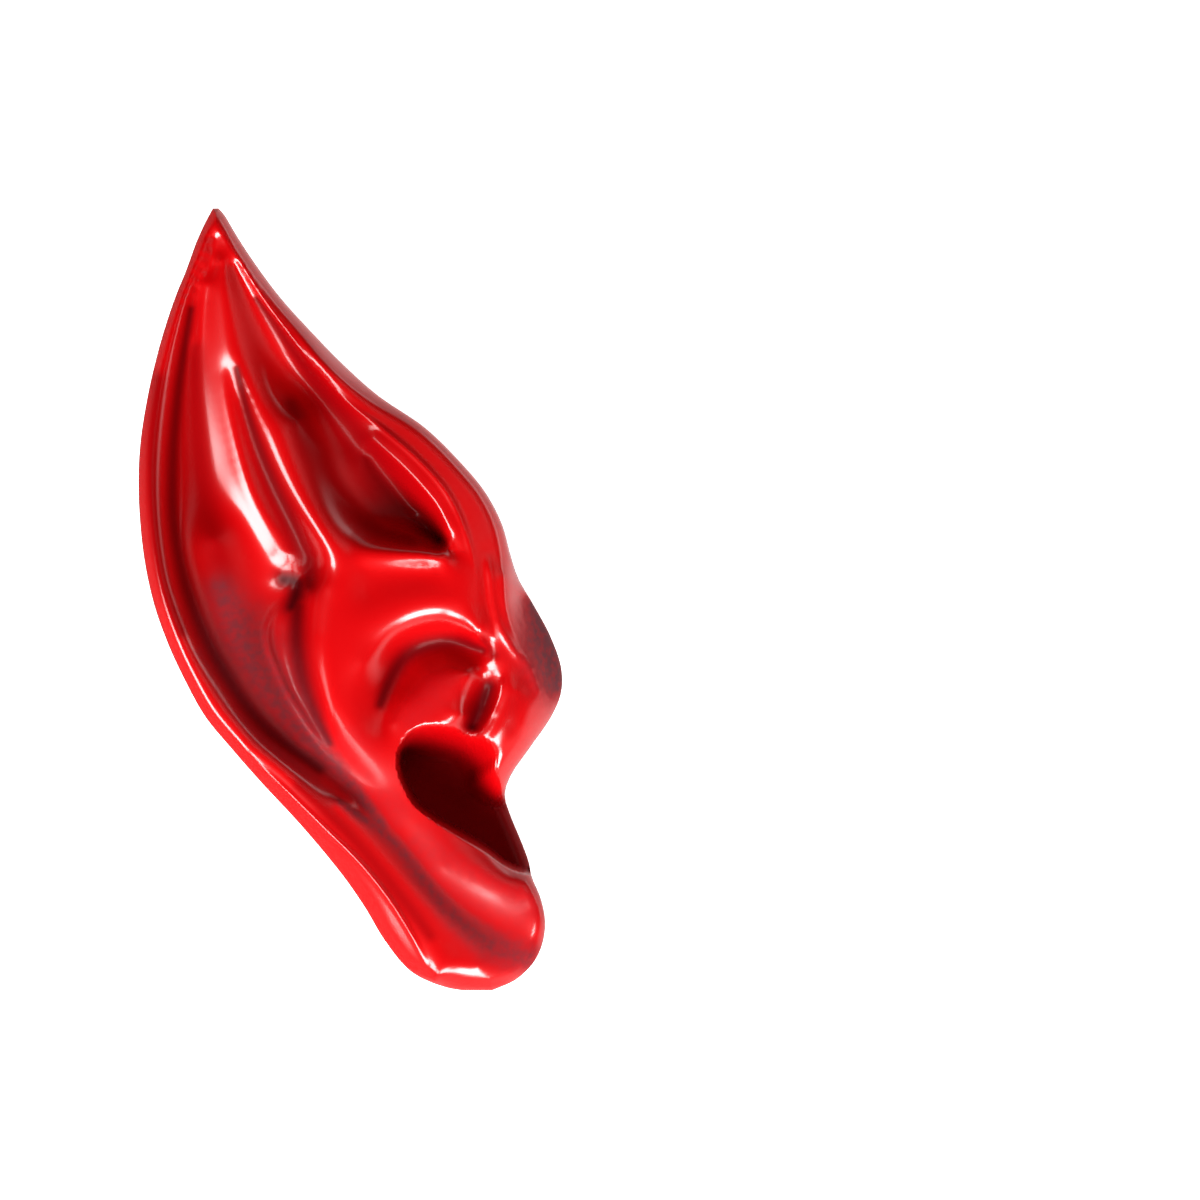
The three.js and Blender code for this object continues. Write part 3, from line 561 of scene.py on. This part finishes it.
def opening_prism():
    """The cutter of the opening, a short prism through the wall of the back."""
    along = [(OPENING_FROM + share * OPENING_LENGTH) / EAR_LENGTH for share, _, _ in OPENING]
    rear_side = [(rear, y) for (_, rear, _), y in zip(OPENING, along)]
    face_side = [(front, y) for (_, _, front), y in zip(OPENING, along)]
    loop = curve_through(rear_side + face_side[::-1], closed=True, each=OPENING_POINTS)
    loop = loop - (EAR_WIDTH / 2, EAR_LENGTH / 2)
    count = len(loop)
    corners = np.vstack([np.column_stack([loop, np.full(count, z)]) for z in (-WALL / 2, 1.5 * WALL)])
    sides = [(i, (i + 1) % count, (i + 1) % count + count, i + count) for i in range(count)]
    return mesh_object("opening", corners, [tuple(range(count))[::-1], tuple(range(count, 2 * count)), *sides])


# The skin is a full pillow, less a smaller pillow for the hollow and a prism for the opening.
FACE_GRID = ((416, 200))
BACK_COARSER = 4
HOLLOW_GRID = (96, 48)
HOLLOW_COARSER = 2
SHARP_EDGE = math.radians(50)
outside = pillow("outside", 0, EAR_LENGTH, 0, *FACE_GRID, BACK_COARSER, face_height, back_height)
hollow = pillow(
    "hollow", LOBE_FILL, EAR_LENGTH - TIP_FILL, WALL, *HOLLOW_GRID, HOLLOW_COARSER, inside_face, inside_back)
opening = opening_prism()
for cutter in (hollow, opening):
    cut = outside.modifiers.new(cutter.name, "BOOLEAN")
    cut.operation = "DIFFERENCE"
    cut.solver = "MANIFOLD"
    cut.object = cutter
evaluated = outside.evaluated_get(bpy.context.evaluated_depsgraph_get())
shell_mesh = bpy.data.meshes.new_from_object(evaluated)
for used in (outside, hollow, opening):
    bpy.data.objects.remove(used)
shell = bpy.data.objects.new("ear_latex_shell", shell_mesh)
bpy.context.collection.objects.link(shell)
shell_mesh.shade_smooth()
shell_mesh.set_sharp_from_angle(angle=SHARP_EDGE)

# Brush strokes of what is painted on the latex: how full each is at most, and its (across, along, half width in
# millimetres) stations. First the painted shade: near-black red laid into the folds and hollows where shade falls.
PAINTED_SHADE_STROKES = {
    "pit": (1, [
        (0.341, 0.526, 1.5), (0.374, 0.52, 2.0), (0.36, 0.492, 1.4),
    ]),
    "crus valley": (0.8, [
        (0.232, 0.794, 0.6), (0.265, 0.724, 1.1), (0.313, 0.653, 1.7), (0.363, 0.596, 2.1),
        (0.396, 0.551, 2.3), (0.4, 0.519, 1.8),
    ]),
    "stem foot": (0.85, [
        (0.374, 0.492, 1.4), (0.372, 0.449, 1.7), (0.386, 0.398, 1.7), (0.417, 0.352, 1.2),
        (0.45, 0.318, 0.6),
    ]),
    "rim wall": (0.75, [
        (0.123, 0.871, 0.6), (0.097, 0.781, 0.9), (0.081, 0.679, 1.1), (0.085, 0.59, 1.1),
        (0.123, 0.5, 1.2), (0.194, 0.417, 1.2), (0.289, 0.344, 1.2), (0.427, 0.285, 0.9),
    ]),
    "fossa": (0.7, [
        (0.277, 0.884, 0.5), (0.355, 0.824, 1.2), (0.431, 0.766, 2.1), (0.498, 0.717, 3.7),
        (0.55, 0.671, 4.6), (0.602, 0.628, 4.6), (0.664, 0.6, 2.8), (0.704, 0.577, 1.2),
    ]),
    "fossa side": (0.5, [
        (0.36, 0.749, 1.2), (0.412, 0.692, 2.8), (0.474, 0.636, 3.4), (0.55, 0.595, 2.1),
        (0.645, 0.577, 1.2),
    ]),
    "cymba": (0.85, [
        (0.571, 0.367, 0.9), (0.597, 0.402, 1.4), (0.63, 0.428, 1.5), (0.687, 0.442, 1.5),
        (0.754, 0.446, 1.4), (0.813, 0.436, 0.8),
    ]),
    "root foot": (0.6, [
        (0.815, 0.449, 0.8), (0.839, 0.43, 0.8),
    ]),
    "dimple": (0.95, [
        (0.827, 0.39, 1.4), (0.808, 0.364, 1.7), (0.787, 0.339, 1.4),
    ]),
    "scapha": (0.45, [
        (0.133, 0.82, 1.2), (0.142, 0.73, 2.1), (0.156, 0.628, 2.8), (0.199, 0.526, 2.5),
    ]),
    "rim top": (0.5, [
        (0.047, 0.781, 1.1), (0.033, 0.685, 1.2), (0.038, 0.602, 1.2), (0.062, 0.519, 1.1),
        (0.104, 0.459, 0.9),
    ]),
    "tail": (0.4, [
        (0.379, 0.263, 1.1), (0.474, 0.214, 1.2), (0.552, 0.166, 1.2), (0.63, 0.113, 1.2),
        (0.687, 0.072, 0.9),
    ]),
    "dimple side": (0.3, [
        (0.884, 0.372, 1.4), (0.874, 0.334, 1.4),
    ]),
}
# Then the painted reflection: a dull brown-gray sheen that stands for a dim gray reflection and dulls the shine,
# with fine specks.
PAINTED_SHEEN_STROKES = {
    "scapha": (0.75, [
        (0.194, 0.513, 2.1), (0.232, 0.468, 4.0), (0.275, 0.421, 4.3), (0.336, 0.37, 3.4),
        (0.408, 0.321, 2.3), (0.486, 0.275, 1.5), (0.578, 0.211, 0.9),
    ]),
    "tail groove": (0.7, [
        (0.474, 0.244, 0.6), (0.602, 0.191, 1.1), (0.682, 0.136, 1.4), (0.763, 0.088, 1.8),
        (0.853, 0.055, 2.6), (0.919, 0.042, 2.5),
    ]),
    "rim crest": (0.3, [
        (0.142, 0.436, 0.6), (0.209, 0.37, 0.8), (0.28, 0.326, 0.9), (0.37, 0.288, 0.9),
        (0.46, 0.247, 0.9),
    ]),
    "bulge": (0.95, [
        (0.934, 0.495, 1.8), (0.96, 0.449, 3.7), (0.991, 0.398, 3.4),
    ]),
    "lobe": (0.3, [
        (0.664, 0.193, 2.8), (0.782, 0.136, 4.9), (0.896, 0.11, 4.3),
    ]),
    "antihelix end": (0.25, [
        (0.498, 0.321, 2.1), (0.555, 0.27, 3.1), (0.616, 0.225, 2.5),
    ]),
    "bump": (0.15, [
        (0.64, 0.347, 1.8), (0.711, 0.385, 2.8),
    ]),
}
# Last the places where handling has worn the shine off.
WORN = {
    "stem": (0.9, [
        (0.429, 0.449, 1.4), (0.436, 0.391, 1.8), (0.46, 0.347, 2.3), (0.502, 0.306, 2.8),
        (0.555, 0.267, 3.1), (0.607, 0.237, 2.1),
    ]),
    "lower crus": (0.7, [
        (0.526, 0.547, 0.9), (0.616, 0.543, 1.2), (0.725, 0.541, 1.4),
    ]),
    "dimple side": (0.7, [
        (0.884, 0.372, 1.5), (0.874, 0.334, 1.5),
    ]),
    "lobe end": (0.5, [
        (0.711, 0.02, 1.2), (0.782, 0.009, 1.2), (0.865, 0.008, 0.9),
    ]),
}

MILLIMETRE = 0.001
STROKE_STEP = 0.0015
STROKE_SOFTNESS = 1.2
FACE_SKIN = 0.0006
CAVUM_PAINTED_SHADE = 0.7
CAVUM_WALL_REACH = 1.3


def stroke_share(strokes, x, y):
    """How much of a brushed layer lies at a place, 0 to 1. Each stroke is fullest on its line."""
    most = np.zeros(len(x))
    for fullest, stations in strokes.values():
        line = curve_through(stations, step=STROKE_STEP)
        for start, end in zip(line, line[1:]):
            distance, t = from_rule(x, y, start, end)
            half_width = MILLIMETRE * (start[2] + (end[2] - start[2]) * t)
            most = np.maximum(most, fullest * np.exp(-((distance / half_width) ** 2) / STROKE_SOFTNESS))
    return most


places = np.empty(len(shell_mesh.vertices) * 3)
shell_mesh.vertices.foreach_get("co", places)
across, along, level = (places.reshape(-1, 3) + (EAR_WIDTH / 2, EAR_LENGTH / 2, 0)).T
on_face = level > face_height(across, along) - FACE_SKIN
in_cavum = smooth(CAVUM_WALL_REACH * cavum_share(across, along))
# The painted shade also darkens the cavum's bowl, and the painted reflection is kept out of it.
layers = {
    "painted_shade": np.maximum(stroke_share(PAINTED_SHADE_STROKES, across, along), CAVUM_PAINTED_SHADE * in_cavum) * on_face,
    "painted_sheen": stroke_share(PAINTED_SHEEN_STROKES, across, along) * (1 - in_cavum) * on_face,
    "worn": stroke_share(WORN, across, along) * on_face,
}
for name, share in layers.items():
    layer = shell_mesh.attributes.new(name, "FLOAT", "POINT")
    layer.data.foreach_set("value", share.astype(np.float32))

# Latex rubber, coloured red right through and moulded, under a clear gloss coat. The rubber alone is matt and deep
# red, and the coat gives it the soft white lines on every crest. Painted shade makes the folds and hollows almost
# black and takes most of the shine away there. A painted reflection of dull brown gray, with specks about a
# millimetre wide, stands for a dim gray reflection, and a worn place has no shine.
LATEX_RED = "#AE0003"
PAINTED_SHADE_RED = "#3E0003"
PAINTED_SHEEN_BROWN = "#5A242A"
SPECK = 1.1 * MILLIMETRE
MIX_SHARE, MIX_FROM, MIX_TO, MIX_RESULT = 0, 6, 7, 2


def linear(colour):
    """An sRGB hex colour as linear red, green, blue and a full alpha."""
    parts = [int(colour[i:i + 2], 16) / 255 for i in (1, 3, 5)]
    return [p / 12.92 if p <= 0.04045 else ((p + 0.055) / 1.055) ** 2.4 for p in parts] + [1]


def node(tree, kind, settings=(), inputs=(), links=()):
    """Adds a node with its settings, its input values and what feeds its inputs."""
    made = tree.nodes.new(kind)
    for key, value in dict(settings).items():
        setattr(made, key, value)
    for key, value in dict(inputs).items():
        made.inputs[key].default_value = value
    for key, source in dict(links).items():
        tree.links.new(source, made.inputs[key])
    return made


latex = bpy.data.materials.new("gloss_coated_latex")
latex.use_nodes = True
tree = latex.node_tree
tree.nodes.clear()
painted_shade, painted_sheen, worn = (
    node(tree, "ShaderNodeAttribute", {"attribute_name": name}).outputs["Fac"] for name in ("painted_shade", "painted_sheen", "worn"))
place = node(tree, "ShaderNodeTexCoord").outputs["Object"]
specks = node(tree, "ShaderNodeTexNoise", inputs={"Scale": 1 / SPECK, "Detail": 2.0}, links={"Vector": place})
speckled = node(
    tree, "ShaderNodeMapRange",
    inputs={"From Min": 0.35, "From Max": 0.65, "To Min": 0.8, "To Max": 1.15},
    links={"Value": specks.outputs[0]})
# The painted reflection, broken up by fine specks.
painted_sheen_depth = node(
    tree, "ShaderNodeMath", {"operation": "MULTIPLY", "use_clamp": True},
    links={0: painted_sheen, 1: speckled.outputs[0]})
# Mixes the painted shade into the latex red.
red_with_painted_shade = node(
    tree, "ShaderNodeMix", {"data_type": "RGBA"},
    {MIX_FROM: linear(LATEX_RED), MIX_TO: linear(PAINTED_SHADE_RED)}, {MIX_SHARE: painted_shade})
# Lays the painted reflection over the red.
colour = node(
    tree, "ShaderNodeMix", {"data_type": "RGBA"},
    {MIX_TO: linear(PAINTED_SHEEN_BROWN)}, {MIX_SHARE: painted_sheen_depth.outputs[0], MIX_FROM: red_with_painted_shade.outputs[MIX_RESULT]})
dull = node(tree, "ShaderNodeMath", {"operation": "MAXIMUM"}, links={0: painted_shade, 1: painted_sheen_depth.outputs[0]})
full_gloss = node(
    tree, "ShaderNodeMapRange",
    inputs={"From Min": 0.0, "From Max": 0.55, "To Min": 1.0, "To Max": 0.04},
    links={"Value": dull.outputs[0]})
unworn = node(tree, "ShaderNodeMath", {"operation": "SUBTRACT"}, {0: 1.0}, {1: worn})
gloss = node(
    tree, "ShaderNodeMath", {"operation": "MULTIPLY"},
    links={0: full_gloss.outputs[0], 1: unworn.outputs[0]})
surface = node(
    tree, "ShaderNodeBsdfPrincipled",
    inputs={"Roughness": 0.5, "Specular IOR Level": 0.03, "Coat IOR": 1.65, "Coat Roughness": 0.18},
    links={"Base Color": colour.outputs[MIX_RESULT], "Coat Weight": gloss.outputs[0]})
node(tree, "ShaderNodeOutputMaterial", links={"Surface": surface.outputs[0]})
shell_mesh.materials.clear()
shell_mesh.materials.append(latex)
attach(shell, "root")
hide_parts("ear_shell")

# Table.
# A plain white card, matt and flat, which the ear lies on with its open back. It glows a little, as a lit backdrop
# does, and isn't seen in the gloss of the ear.
TABLE_REACH = 2
TABLE_LEVEL = -0.0001
CARD_WHITE = "#F6F6F6"
table_corners = np.array([
    (x * TABLE_REACH, y * TABLE_REACH, TABLE_LEVEL) for x, y in ((-1, -1), (1, -1), (1, 1), (-1, 1))
])
floor = mesh_object("table_top", table_corners, [(0, 1, 2, 3)])
card = bpy.data.materials.new("matt_white_card")
card.use_nodes = True
card_surface = card.node_tree.nodes["Principled BSDF"]
card_surface.inputs["Base Color"].default_value = linear(CARD_WHITE)
card_surface.inputs["Roughness"].default_value = 0.9
card_surface.inputs["Specular IOR Level"].default_value = 0.1
card_surface.inputs["Emission Color"].default_value = (1, 1, 1, 1)
card_surface.inputs["Emission Strength"].default_value = 0.9
floor.data.materials.append(card)
floor.visible_glossy = False

# Studio light.
# A tent that is bright low down and to the right and almost dark overhead, with soft boxes at the rear edge and the
# lobe, a long low card at the face side, and a fill light that adds no highlight of its own.
world = bpy.data.worlds.new("light_tent")
world.use_nodes = True
sky = world.node_tree
sky.nodes.clear()
direction = node(sky, "ShaderNodeTexCoord")
split = node(sky, "ShaderNodeSeparateXYZ", links={0: direction.outputs["Generated"]})
low = node(
    sky, "ShaderNodeMapRange",
    inputs={"From Min": 0.1, "From Max": 0.35, "To Min": 1.0, "To Max": 0.01},
    links={"Value": split.outputs["Z"]})
right = node(
    sky, "ShaderNodeMapRange",
    inputs={"From Min": -0.4, "From Max": 0.5, "To Min": 0.12, "To Max": 1.2},
    links={"Value": split.outputs["X"]})
strength = node(sky, "ShaderNodeMath", {"operation": "MULTIPLY"}, links={0: low.outputs[0], 1: right.outputs[0]})
glow = node(sky, "ShaderNodeBackground", links={"Strength": strength.outputs[0]})
node(sky, "ShaderNodeOutputWorld", links={"Surface": glow.outputs[0]})
bpy.context.scene.world = world


def soft_box(name, turn, rise, far, size, power):
    """A soft box that faces the ear, from its turn and rise in degrees, its distance, its size and its watts."""
    light = bpy.data.lights.new(name, "AREA")
    light.shape = "RECTANGLE"
    light.size, light.size_y = size
    light.energy = power
    lamp = bpy.data.objects.new(name, light)
    turn, rise = math.radians(turn), math.radians(rise)
    lamp.location = Vector((math.cos(turn) * math.cos(rise), math.sin(turn) * math.cos(rise), math.sin(rise))) * far
    lamp.rotation_euler = lamp.location.to_track_quat("Z", "Y").to_euler()
    bpy.context.collection.objects.link(lamp)
    return lamp


soft_box("left_box", 210, 35, 1.2, (0.7, 0.46), 17)
soft_box("lower_box", 250, 35, 1.2, (0.5, 0.46), 13)
soft_box("front_box", 284, 35, 1.2, (0.5, 0.46), 16)
soft_box("right_card", 20, 9, 1.4, (1.8, 0.3), 2.2)
fill_box = soft_box("fill_box", 30, 55, 1.2, (0.6, 0.6), 4)
fill_box.visible_glossy = False

# Camera.
# It looks straight down at the ear, with the tip at the top. Its lens is worked out from how wide the ear is in the
# picture, at the level of the ear's outline, and its place from where the ear stands there.
PHOTO_WIDTH_PX = 1200
EAR_WIDTH_PX = 422
EAR_MIDDLE_X_PX = 351
CAMERA_HEIGHT = 1.5
SENSOR_MM = 36
OUTLINE_HEIGHT = 0.014
metres_per_px = EAR_WIDTH / EAR_WIDTH_PX
camera_data = bpy.data.cameras.new("camera")
camera_data.sensor_width = SENSOR_MM
camera_data.lens = SENSOR_MM * (CAMERA_HEIGHT - OUTLINE_HEIGHT) / (PHOTO_WIDTH_PX * metres_per_px)
camera = bpy.data.objects.new("camera", camera_data)
camera.location = ((PHOTO_WIDTH_PX / 2 - EAR_MIDDLE_X_PX) * metres_per_px, 0, CAMERA_HEIGHT)
bpy.context.collection.objects.link(camera)
bpy.context.scene.camera = camera
bpy.context.scene.view_settings.view_transform = "Standard"
